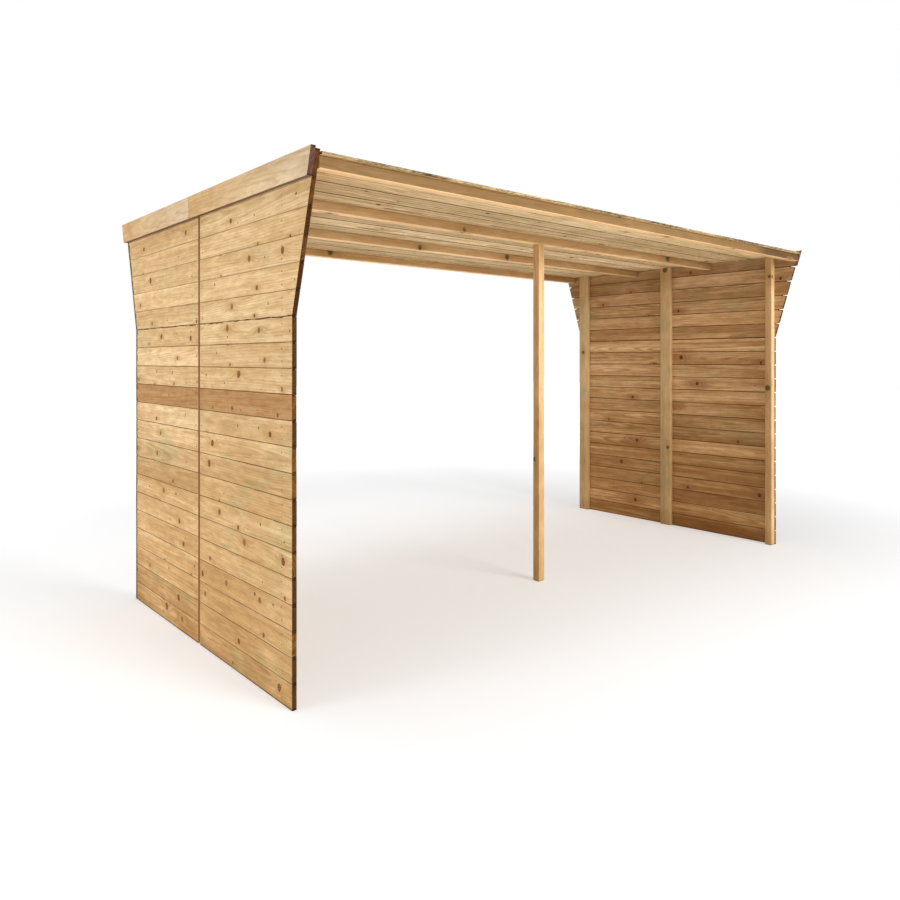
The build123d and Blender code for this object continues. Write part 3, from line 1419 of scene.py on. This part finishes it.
class NailTree:
    """Geometry nodes that set a low domed nail head on every point of a mesh."""

    def __init__(self) -> None:
        """Build the tree."""
        inputs = {
            "Nail Places": "Geometry",
            "Head Radius": 0.003,
            "Dome": 0.16,
            "Facing": (0.0, 0.0, 1.0),
            "Scatter": 0.003,
            "Seed": 7,
            "Finish": "Material",
        }
        g = TreeBuilder("nailing", "GeometryNodeTree", inputs)
        sizes = g.inputs

        # Scatter the places a little, in the face that the nails are in
        spread = {0: (-1.0, -1.0, -1.0), 1: (1.0, 1.0, 1.0), "Seed": sizes["Seed"]}
        shift = g.wire("FunctionNodeRandomValue", spread, "Value", data_type="FLOAT_VECTOR")
        shift = shift * g.combine(sizes["Scatter"], sizes["Scatter"], sizes["Scatter"])
        off_face = {0: sizes["Facing"], 3: g.vector("DOT_PRODUCT", shift, sizes["Facing"])}
        in_face = shift - g.wire("ShaderNodeVectorMath", off_face, operation="SCALE")
        places = g.wire("GeometryNodeSetPosition", {"Geometry": sizes["Nail Places"], "Offset": in_face})

        # Set a flattened ball on each
        round_head = {"Segments": 9, "Rings": 6, "Radius": sizes["Head Radius"]}
        ball = g.wire("GeometryNodeMeshUVSphere", round_head)
        low = g.combine(1.0, 1.0, sizes["Dome"])
        head = g.wire("GeometryNodeTransform", {"Geometry": ball, "Scale": low})
        turn = g.wire("FunctionNodeAlignRotationToVector", {"Vector": sizes["Facing"]}, axis="Z")
        set_in = {"Points": places, "Instance": head, "Rotation": turn}
        heads = g.wire("GeometryNodeInstanceOnPoints", set_in)
        heads = g.wire("GeometryNodeRealizeInstances", {"Geometry": heads})
        heads = g.wire("GeometryNodeSetShadeSmooth", {"Geometry": heads})
        heads = g.wire("GeometryNodeSetMaterial", {"Geometry": heads, "Material": sizes["Finish"]})
        self.tree = g.put(Geometry=heads)


def run_tree(tree: bpy.types.NodeTree, start: bpy.types.Mesh, sizes: dict[str, Value]) -> bpy.types.Mesh:
    """Evaluate a geometry node tree once and keep the result as a plain mesh.

    Args:
        tree: The geometry node tree.
        start: The mesh that the tree's modifier sits on.
        sizes: Values for the tree's inputs, each under its input's name in small letters,
            with underscores. Those with no input of their name are left out.

    Returns:
        The resulting mesh.
    """
    carrier = bpy.data.objects.new("tree_carrier", start)
    bpy.context.scene.collection.objects.link(carrier)
    modifier = carrier.modifiers.new("tree", "NODES")
    modifier.node_group = tree
    for item in tree.interface.items_tree:
        label = item.name.lower().replace(" ", "_")
        if item.item_type == "SOCKET" and item.in_out == "INPUT" and label in sizes:
            modifier[item.identifier] = sizes[label]
    depsgraph = bpy.context.evaluated_depsgraph_get()
    evaluated = carrier.evaluated_get(depsgraph)
    mesh = bpy.data.meshes.new_from_object(evaluated, preserve_all_data_layers=True, depsgraph=depsgraph)
    carrier.modifiers.remove(modifier)
    bpy.data.objects.remove(carrier)
    return mesh


@dataclass
class BoardedPanel:
    """A run of tongue and grooved boards that stands for one CAD node.

    The boarding tree's inputs have the names of the fields that feed them.
    """

    name: str
    node: str
    slot: str
    profile: BoardProfile
    length: float
    boards: int
    origin: Vector
    along: Vector
    inward: Vector
    stacked: Vector
    lean_at_start: float = 0.0
    lean_at_end: float = 0.0
    notch_at_start: float = 0.0
    notch_at_end: float = 0.0
    flat_foot: bool = True
    flat_head: bool = True
    dark_board: int = -1
    worn_joint: float = -1.0
    wobble: float = 0.0005
    seed: int = 0
    segment: float = 0.09

    def shapes(self) -> bpy.types.Collection:
        """Build the board shapes that the tree picks from.

        Returns:
            The shapes, which the tree sorts by their names.
        """
        shapes = bpy.data.collections.new(f"{self.name}_shapes")
        segments = max(4, round(self.length / self.segment))
        for kind in BoardKind:
            mesh = self.profile.mesh(kind, segments)
            shapes.objects.link(bpy.data.objects.new(f"{kind.value}_{kind.name.lower()}", mesh))
        return shapes

    def build(self, tree: BoardingTree, material: bpy.types.Material) -> bpy.types.Object:
        """Build the panel.

        Args:
            tree: The boarding tree.
            material: The boards' finish.

        Returns:
            The panel's object.
        """
        shapes = self.shapes()
        sizes = {**vars(self), **vars(self.profile), "board_shapes": shapes, "finish": material}
        mesh = run_tree(tree.tree, bpy.data.meshes.new(self.name), sizes)
        for shape in list(shapes.objects):
            bpy.data.objects.remove(shape)
        bpy.data.collections.remove(shapes)
        turn = Matrix((self.along, self.inward, self.stacked)).transposed().to_4x4()
        mesh.transform(Matrix.Translation(self.origin) @ turn)
        mesh.update()
        return keep_piece(self.name, mesh, [self.node])


@dataclass
class SawnTimber:
    """A straight timber with eased arrises that stands for one CAD node.

    Its axes are numbered 0 to 2 for X to Z: the one its grain runs along, the one across its
    wide face, and the one through it. Its tone runs from one end to the other, and the
    underside may have a painted highlight, and the left side and the far end painted shade, as
    tones of their own.
    """

    name: str
    node: str
    slot: str
    along: int
    across: int
    through: int
    seed: Triple
    arris: float = 0.002
    segment: float = 0.15
    lean: Pair = (0.0, 0.0)
    tone: Pair = (0.0, 0.0)
    # Painted highlight: tones that make the underside paler, standing in for light from below
    under_tone: Pair | None = None
    # Painted shade: a darker tone for the left side
    left_tone: float | None = None
    # Painted shade: how much the tone drops over the far end, from far_from on
    far_drop: float = 0.0
    far_from: float = 0.87
    # Painted shade: how far the underside is darkened toward the sawn end colour
    under_stain: float = 0.0

    def _section(self, half_across: float, half_through: float) -> list[Point]:
        """Draw the section's corners, each eased by two small facets.

        Args:
            half_across: Half of the width.
            half_through: Half of the thickness.

        Returns:
            The points around the section, across and through the timber.
        """
        points = []
        for turn, (sign_across, sign_through) in enumerate(((1, 1), (-1, 1), (-1, -1), (1, -1))):
            for step in range(3):
                angle = math.radians(90 * turn + 45 * step)
                across = sign_across * (half_across - self.arris) + self.arris * math.cos(angle)
                through = sign_through * (half_through - self.arris) + self.arris * math.sin(angle)
                points.append((across, through))
        return points

    def _rings(self, low: Vector, high: Vector) -> list[list[Vector]]:
        """Lay the section out along the timber.

        Args:
            low: The lower corner of the timber's box.
            high: The upper corner.

        Returns:
            The rings of points, the first and the last of them cut to the lean of the ends.
        """
        middle, half = (low + high) / 2, (high - low) / 2
        section = self._section(half[self.across], half[self.through])
        steps = max(2, round(2 * half[self.along] / self.segment))
        rings = []
        for step in range(steps + 1):
            share = step / steps
            ring = []
            for across, through in section:
                rise = 0.5 - across / (2 * half[self.across])
                start = low[self.along] + self.lean[0] * rise
                stop = high[self.along] - self.lean[1] * rise
                place = Vector()
                place[self.along] = start + (stop - start) * share
                place[self.across] = middle[self.across] + across
                place[self.through] = middle[self.through] + through
                ring.append(place)
            rings.append(ring)
        return rings

    def _tones(self, mesh: bpy.types.Mesh, shares: Sequence[float]) -> list[float]:
        """Work out the tone of each face corner.

        Args:
            mesh: The timber's mesh.
            shares: How far along the timber each point lies, from 0 to 1.

        Returns:
            The tones, in the order of the mesh's corners.
        """
        tones = [0.0] * len(mesh.loops)
        for face in mesh.polygons:
            # Painted highlight on the underside
            gets_underside_highlight = self.under_tone is not None and face.normal.z < -0.3
            # Painted shade on the left side
            gets_left_face_shade = self.left_tone is not None and face.normal.x < -0.5
            first, last = self.under_tone if gets_underside_highlight else self.tone
            for number in face.loop_indices:
                share = shares[mesh.loops[number].vertex_index]
                tone = self.left_tone if gets_left_face_shade else first + (last - first) * share
                # Painted shade over the far end
                tones[number] = tone - (self.far_drop if share > self.far_from else 0.0)
        return tones

    def build(self, material: bpy.types.Material) -> bpy.types.Object:
        """Build the timber.

        Args:
            material: Its finish.

        Returns:
            The timber's object.
        """
        low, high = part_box(self.node)
        middle, size = (low + high) / 2, high - low
        rings = self._rings(low, high)
        mesh, cap_numbers = tube(self.name, rings, [range(len(rings[0]))])
        places = [vertex.co.copy() for vertex in mesh.vertices]
        grain = [
            (place[self.along], (place - middle)[self.across], (place - middle)[self.through])
            for place in places
        ]
        shares = [(place - low)[self.along] / size[self.along] for place in places]
        # Sawn ends, and the painted shade of a darkened underside
        cuts = [
            1.0 if face.index in cap_numbers else self.under_stain * (face.normal.z < -0.8)
            for face in mesh.polygons
        ]
        write_attribute(mesh, GRAIN, "POINT", grain)
        write_attribute(mesh, SEED, "POINT", [self.seed] * len(places))
        write_attribute(mesh, TONE, "CORNER", self._tones(mesh, shares))
        write_attribute(mesh, STAIN, "POINT", [0.0] * len(places))
        write_attribute(mesh, CUT, "FACE", cuts)
        mesh.materials.append(material)
        mesh.shade_smooth()
        mesh.set_sharp_from_angle(angle=math.radians(50))
        return keep_piece(self.name, mesh, [self.node])


@dataclass
class NailRows:
    """Nail heads that show on one face of the store.

    The nailing tree's inputs have the names of the fields that feed them.
    """

    name: str
    places: Sequence[Vector]
    facing: Triple
    seed: int
    head_radius: float = 0.003
    dome: float = 0.16
    scatter: float = 0.003

    def build(self, tree: NailTree, material: bpy.types.Material) -> bpy.types.Object:
        """Build the heads.

        Args:
            tree: The nailing tree.
            material: The nails' finish.

        Returns:
            The nails' object.
        """
        start = bpy.data.meshes.new(self.name)
        start.from_pydata(self.places, [], [])
        mesh = run_tree(tree.tree, start, {**vars(self), "finish": material})
        return keep_piece(self.name, mesh, [])


# ---------------------------------------------------------------------------
# Sub-assemblies
# ---------------------------------------------------------------------------


@dataclass(frozen=True)
class Materials:
    """The finished materials and the trees, shared by all sub-assemblies."""

    walls: dict[Side, bpy.types.Material]
    fascia: bpy.types.Material
    frame: bpy.types.Material
    battens: bpy.types.Material
    roof: bpy.types.Material
    nails: bpy.types.Material
    boarding: BoardingTree
    nailing: NailTree

    @classmethod
    def build(cls) -> "Materials":
        """Build every material and tree once.

        Returns:
            All of them.
        """
        effects = WoodEffects.build()
        return cls(
            walls={
                Side.LEFT: LEFT_WALL_BOARDS.material(effects),
                Side.RIGHT: RIGHT_WALL_BOARDS.material(effects),
            },
            fascia=FASCIA_BOARDS.material(effects),
            frame=FRAME_TIMBER.material(effects),
            battens=BATTEN_TIMBER.material(effects),
            roof=ROOF_BOARDS.material(effects),
            nails=NailFinish().material(),
            boarding=BoardingTree(),
            nailing=NailTree(),
        )


@dataclass
class SideWall:
    """One side wall: its boarding in two halves, its fascia pair, uprights and nails."""

    side: Side
    seed: int
    course: float = 0.095
    dark_board: int = -1
    knee_notch: float = 0.0
    foot_notch: float = 0.0
    nail_heights: Pair = (0.27, 0.74)  # shares of a course
    nail_inset: float = 0.024  # from the slot
    front_nail: float = 0.018  # from the front upright's front edge
    nail_sink: float = 0.0003
    fascia_clearance: float = 0.006

    def _node(self, part: str) -> str:
        """Name a node of this wall."""
        return f"{self.side.label}_{part}"

    @property
    def front_upright(self) -> str:
        """The upright nearest the front, a batten in the left wall and a post in the right one."""
        return "front_batten" if self.side is Side.LEFT else "front_post"

    def _lean(self, end: End) -> float:
        """Work out how far a half's edge leans out between the knee and its top.

        Args:
            end: Which half of the wall.

        Returns:
            The lean in metres.
        """
        foot_low, foot_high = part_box(self._node(f"wall_{end.label}_lower"))
        low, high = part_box(self._node(f"wall_{end.label}_upper"))
        return (high.y - low.y) - (foot_high.y - foot_low.y)

    def panel(self, end: End, upper: bool, materials: Materials) -> bpy.types.Object:
        """Build the boarding of one half, below or above the knee.

        Args:
            end: Which half of the wall.
            upper: Whether it is the leaning part above the knee.
            materials: The shared materials and trees.

        Returns:
            The panel's object.
        """
        node = self._node(f"wall_{end.label}_{'upper' if upper else 'lower'}")
        low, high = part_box(node)
        foot_low, foot_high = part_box(self._node(f"wall_{end.label}_lower"))
        way = self.side.value
        is_right = self.side is Side.RIGHT
        outer = high.x if is_right else low.x
        lean = self._lean(end) if upper else 0.0
        notch = self.knee_notch if upper else self.foot_notch
        edge_comes_first = (end is End.FRONT) == is_right
        boards = round((high.z - low.z) / self.course)
        boards_below = round((low.z - foot_low.z) / self.course)
        return BoardedPanel(
            name=f"{node}_boards",
            node=node,
            slot="wall_board",
            profile=BoardProfile(course=(high.z - low.z) / boards, thickness=high.x - low.x),
            length=foot_high.y - foot_low.y,
            boards=boards,
            origin=Vector((outer, foot_low.y if is_right else foot_high.y, low.z)),
            along=Vector((0.0, way, 0.0)),
            inward=Vector((-way, 0.0, 0.0)),
            stacked=Vector((0.0, 0.0, 1.0)),
            lean_at_start=lean if edge_comes_first else 0.0,
            lean_at_end=0.0 if edge_comes_first else lean,
            notch_at_start=notch if edge_comes_first else 0.0,
            notch_at_end=0.0 if edge_comes_first else notch,
            flat_foot=not upper,
            flat_head=upper,
            dark_board=self.dark_board - boards_below,
            worn_joint=0.0 if upper else high.z - low.z,
            seed=self.seed + 10 * end.value + (5 if upper else 0),
        ).build(materials.boarding, materials.walls[self.side])

    def fascia(self, end: End, materials: Materials) -> bpy.types.Object:
        """Build one board of the fascia pair, with its outer end cut to the wall's slope.

        Args:
            end: Which half of the wall.
            materials: The shared materials and trees.

        Returns:
            The board's object.
        """
        node = self._node(f"fascia_{end.label}")
        low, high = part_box(node)
        wall_low, wall_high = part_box(self._node(f"wall_{end.label}_upper"))
        cut_back = self._lean(end) / (wall_high.z - wall_low.z) * (high.z - low.z)
        return SawnTimber(
            name=f"{node}_board",
            node=node,
            slot="fascia_board",
            along=1,
            across=2,
            through=0,
            seed=(0.31 + 0.2 * end.value, 0.35, 0.93),
            arris=0.0015,
            lean=(cut_back, 0.0) if end is End.FRONT else (0.0, cut_back),
            tone=(1.0, -1.0),
            # Painted shade on the underside
            under_stain=0.8,
        ).build(materials.fascia)

    def upright(self, part: str, number: float, materials: Materials) -> bpy.types.Object:
        """Build a post or batten inside the wall.

        Args:
            part: The end of its node's name.
            number: The first of its seed's numbers, from which the others follow.
            materials: The shared materials and trees.

        Returns:
            The upright's object.
        """
        node = self._node(part)
        is_post = "post" in part
        return SawnTimber(
            name=f"{node}_timber",
            node=node,
            slot="frame_timber",
            along=2,
            across=1,
            through=0,
            seed=(number, (number * 7.3) % 1.0, (number * 3.7) % 1.0),
            tone=(-0.2, 0.3),
            # Painted shade: a post's left side is darker
            left_tone=-2.6 if is_post else None,
        ).build(materials.frame if is_post else materials.battens)

    def nails(self, materials: Materials) -> bpy.types.Object:
        """Build the nails that hold each board to the uprights behind it.

        Args:
            materials: The shared materials and trees.

        Returns:
            The nails' object.
        """
        way = self.side.value
        low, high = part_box(self._node("wall_front_lower"))
        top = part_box(self._node("wall_front_upper"))[1].z
        batten_low, batten_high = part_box(self._node("back_batten"))
        columns = (
            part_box(self._node(self.front_upright))[0].y + self.front_nail,
            high.y - self.nail_inset,
            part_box(self._node("wall_back_lower"))[0].y + self.nail_inset,
            (batten_low.y + batten_high.y) / 2,
        )
        outer = high.x if self.side is Side.RIGHT else low.x
        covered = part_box(self._node("fascia_front"))[0].z - self.fascia_clearance
        heights = [
            low.z + (course + share) * self.course
            for course in range(round((top - low.z) / self.course))
            for share in self.nail_heights
        ]
        return NailRows(
            name=self._node("wall_nails"),
            places=[
                Vector((outer - way * self.nail_sink, y, height))
                for height in heights
                for y in columns
                if height < covered
            ],
            facing=(float(way), 0.0, 0.0),
            seed=self.seed,
        ).build(materials.nailing, materials.nails)

    def build(self, materials: Materials) -> None:
        """Build every piece of the wall.

        Args:
            materials: The shared materials and trees.
        """
        for end in End:
            for upper in (False, True):
                self.panel(end, upper, materials)
            self.fascia(end, materials)
        for part, number in ((self.front_upright, 0.37), ("middle_batten", 0.61), ("back_batten", 0.83)):
            self.upright(part, number + 0.05 * self.side.value, materials)
        self.nails(materials)


@dataclass
class Roof:
    """The boarded roof: three strips of boards on four purlins, and the nails in its top."""

    seed: int = 400
    cover: float = 0.156
    nail_pitch: float = 0.46
    nail_from_joint: float = 0.012
    nail_sink: float = 0.0003

    def strip(self, part: str, number: int, materials: Materials) -> bpy.types.Object:
        """Build one strip of roof boards.

        Args:
            part: The strip's word in its node's name.
            number: Its place from the front, for its random numbers.
            materials: The shared materials and trees.

        Returns:
            The strip's object.
        """
        node = f"roof_boards_{part}"
        low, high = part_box(node)
        boards = round((high.y - low.y) / self.cover)
        profile = BoardProfile(
            course=(high.y - low.y) / boards,
            thickness=high.z - low.z,
            rim=0.0045,
            v_below=3.2,
            v_above=3.8,
            v_depth=6.0,
            edge_stain=0.48,
        )
        return BoardedPanel(
            name=f"{node}_boarding",
            node=node,
            slot="roof_board",
            profile=profile,
            length=high.x - low.x,
            boards=boards,
            origin=Vector((high.x, low.y, low.z)),
            along=Vector((-1.0, 0.0, 0.0)),
            inward=Vector((0.0, 0.0, 1.0)),
            stacked=Vector((0.0, 1.0, 0.0)),
            seed=self.seed + number,
            segment=0.15,
        ).build(materials.boarding, materials.roof)

    def purlin(self, number: int, materials: Materials) -> bpy.types.Object:
        """Build one purlin.

        Args:
            number: Its place from the front, from 1.
            materials: The shared materials and trees.

        Returns:
            The purlin's object, with painted shade on its front face, darkest on the first one, a painted
            highlight on its underside and painted shade at its far end.
        """
        node = f"purlin_{number}"
        is_front = number == 1
        # Painted shade on the front face, deepest on the first purlin
        front_face_shade = -6.2 if is_front else -2.2
        random = 0.137 * number + 0.21
        return SawnTimber(
            name=f"{node}_timber",
            node=node,
            slot="frame_timber",
            along=0,
            across=2,
            through=1,
            seed=(random, (random * 5.1) % 1.0, (random * 2.9) % 1.0),
            tone=(front_face_shade, front_face_shade),
            # Painted highlight on the underside
            under_tone=(3.2, 1.8),
            # Painted shade over the far end, near the right wall
            far_drop=2.0 if is_front else 1.7,
        ).build(materials.frame)

    def nails(self, materials: Materials) -> bpy.types.Object:
        """Build the nails that hold the roof boards down to the purlins.

        Args:
            materials: The shared materials and trees.

        Returns:
            The nails' object.
        """
        low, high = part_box("roof_boards_middle")
        rows = [joint + way * self.nail_from_joint for joint in (low.y, high.y) for way in (-1, 1)]
        for purlin in ("purlin_1", "purlin_4"):
            purlin_low, purlin_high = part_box(purlin)
            rows.append((purlin_low.y + purlin_high.y) / 2)
        count = round((high.x - low.x) / self.nail_pitch)
        pitch = (high.x - low.x) / count
        top = high.z - self.nail_sink
        return NailRows(
            name="roof_nails",
            places=[Vector((low.x + (step + 0.5) * pitch, y, top)) for y in rows for step in range(count)],
            facing=(0.0, 0.0, 1.0),
            seed=self.seed,
        ).build(materials.nailing, materials.nails)

    def build(self, materials: Materials) -> None:
        """Build every piece of the roof.

        Args:
            materials: The shared materials and trees.
        """
        for number, part in enumerate(("front", "middle", "back")):
            self.strip(part, number, materials)
        for number in range(1, 5):
            self.purlin(number, materials)
        self.nails(materials)


@dataclass
class MiddlePost:
    """The post under the second purlin."""

    seed: Triple = (0.44, 0.7, 0.2)
    # Painted shade on the left side
    left_tone: float = -1.2

    def build(self, materials: Materials) -> bpy.types.Object:
        """Build the post.

        Args:
            materials: The shared materials and trees.

        Returns:
            The post's object.
        """
        return SawnTimber(
            name="middle_post_timber",
            node="middle_post",
            slot="frame_timber",
            along=2,
            across=0,
            through=1,
            seed=self.seed,
            # Painted shade on the left side
            left_tone=self.left_tone,
        ).build(materials.frame)


# ---------------------------------------------------------------------------
# Studio
# ---------------------------------------------------------------------------


@dataclass(frozen=True)
class SoftLamp:
    """A large square lamp aimed at the store."""

    name: str
    place: Triple
    aim: Triple
    size: float
    watts: float

    def build(self) -> None:
        """Hang the lamp."""
        light = bpy.data.lights.new(self.name, "AREA")
        light.shape = "SQUARE"
        light.size = self.size
        light.energy = self.watts
        lamp = bpy.data.objects.new(self.name, light)
        bpy.context.scene.collection.objects.link(lamp)
        toward = Vector(self.aim) - Vector(self.place)
        lamp.location = self.place
        lamp.rotation_euler = toward.to_track_quat("-Z", "Y").to_euler()


@dataclass
class Studio:
    """A pale floor and a white backdrop, soft light, and the camera."""

    camera_place: Triple = (-3.177, -3.231, 1.266)
    camera_turn: float = 40.88
    lens: float = 29.66
    sensor: float = 36.0
    shift_down: float = 0.1
    view_range: float = 200.0
    floor_half: float = 30.0
    floor_colour: Colour = (0.722, 0.727, 0.737)
    floor_light: float = 0.40
    far_glow: float = 0.75
    glow_starts: float = 2.6
    glow_full: float = 8.0
    sky_strength: float = 0.25
    lamps: tuple[SoftLamp, ...] = (
        SoftLamp("left_lamp", (-9.0, 1.0, 2.4), (-1.9, 0.0, 1.1), 3.0, 190.0),
        SoftLamp("front_lamp", (1.2, -8.5, 3.4), (0.0, -0.8, 1.0), 4.0, 520.0),
        SoftLamp("top_lamp", (-1.5, 0.5, 7.5), (0.0, 0.0, 0.0), 6.0, 260.0),
    )

    @staticmethod
    def _seen(g: Graph) -> Wire:
        """Tell the rays that show the backdrop from those that carry its light.

        Args:
            g: The nodes of the world or the floor.

        Returns:
            1 for the camera's rays and for those seen in gloss or glass, 0 for all others.
        """
        path = g.add("ShaderNodeLightPath").outputs
        seen = g.math("MAXIMUM", path["Is Camera Ray"], path["Is Glossy Ray"])
        return g.math("MAXIMUM", seen, path["Is Transmission Ray"])

    def world(self) -> None:
        """Make a world that looks white and gives even light."""
        world = bpy.data.worlds.new("white_studio")
        bpy.context.scene.world = world
        g = Graph.of(world)
        white = (1.0, 1.0, 1.0, 1.0)
        light = g.wire("ShaderNodeBackground", {"Color": white, "Strength": self.sky_strength})
        shown = g.wire("ShaderNodeBackground", {"Color": white, "Strength": 1.0})
        blend = g.wire("ShaderNodeMixShader", {0: self._seen(g), 1: light, 2: shown})
        g.add("ShaderNodeOutputWorld", {"Surface": blend})

    def floor(self) -> None:
        """Lay a pale floor that keeps the store's shadow."""
        material = bpy.data.materials.new("studio_floor")
        g = Graph.of(material)
        plain = g.wire("ShaderNodeBsdfDiffuse", {"Color": (*self.floor_colour, 1.0)})
        away = g.vector("LENGTH", g.wire("ShaderNodeTexCoord", out="Object"))
        far = g.ramp(away, self.glow_starts, self.glow_full, 0.0, self.far_glow)
        glow = g.wire("ShaderNodeEmission", {"Strength": self._seen(g) * far + self.floor_light})
        g.add("ShaderNodeOutputMaterial", {"Surface": g.wire("ShaderNodeAddShader", {0: plain, 1: glow})})
        half = self.floor_half
        corners = [(-half, -half, 0.0), (half, -half, 0.0), (half, half, 0.0), (-half, half, 0.0)]
        mesh = bpy.data.meshes.new("studio_floor")
        mesh.from_pydata(corners, [], [(0, 1, 2, 3)])
        mesh.materials.append(material)
        floor = bpy.data.objects.new("studio_floor", mesh)
        bpy.context.scene.collection.objects.link(floor)

    def camera(self) -> None:
        """Set up the camera, level, with its frame shifted down instead of tilted."""
        data = bpy.data.cameras.new("front_left_camera")
        data.lens = self.lens
        data.sensor_width = self.sensor
        data.shift_y = -self.shift_down
        data.clip_end = self.view_range
        camera = bpy.data.objects.new("front_left_camera", data)
        camera.location = self.camera_place
        camera.rotation_euler = (math.radians(90), 0.0, -math.radians(self.camera_turn))
        bpy.context.scene.collection.objects.link(camera)
        bpy.context.scene.camera = camera

    def build(self) -> None:
        """Set up the whole studio."""
        bpy.context.scene.view_settings.view_transform = "Standard"
        self.world()
        self.floor()
        self.camera()
        for lamp in self.lamps:
            lamp.build()


def main() -> None:
    """Build the store's pieces in order, then the studio around them."""
    logging.basicConfig(level=logging.INFO, format="%(name)s: %(message)s")
    materials = Materials.build()
    SideWall(Side.LEFT, seed=100, dark_board=11).build(materials)
    SideWall(Side.RIGHT, seed=200, knee_notch=0.032, foot_notch=0.016).build(materials)
    Roof().build(materials)
    MiddlePost().build(materials)
    Studio().build()


if __name__ == "__main__":
    main()
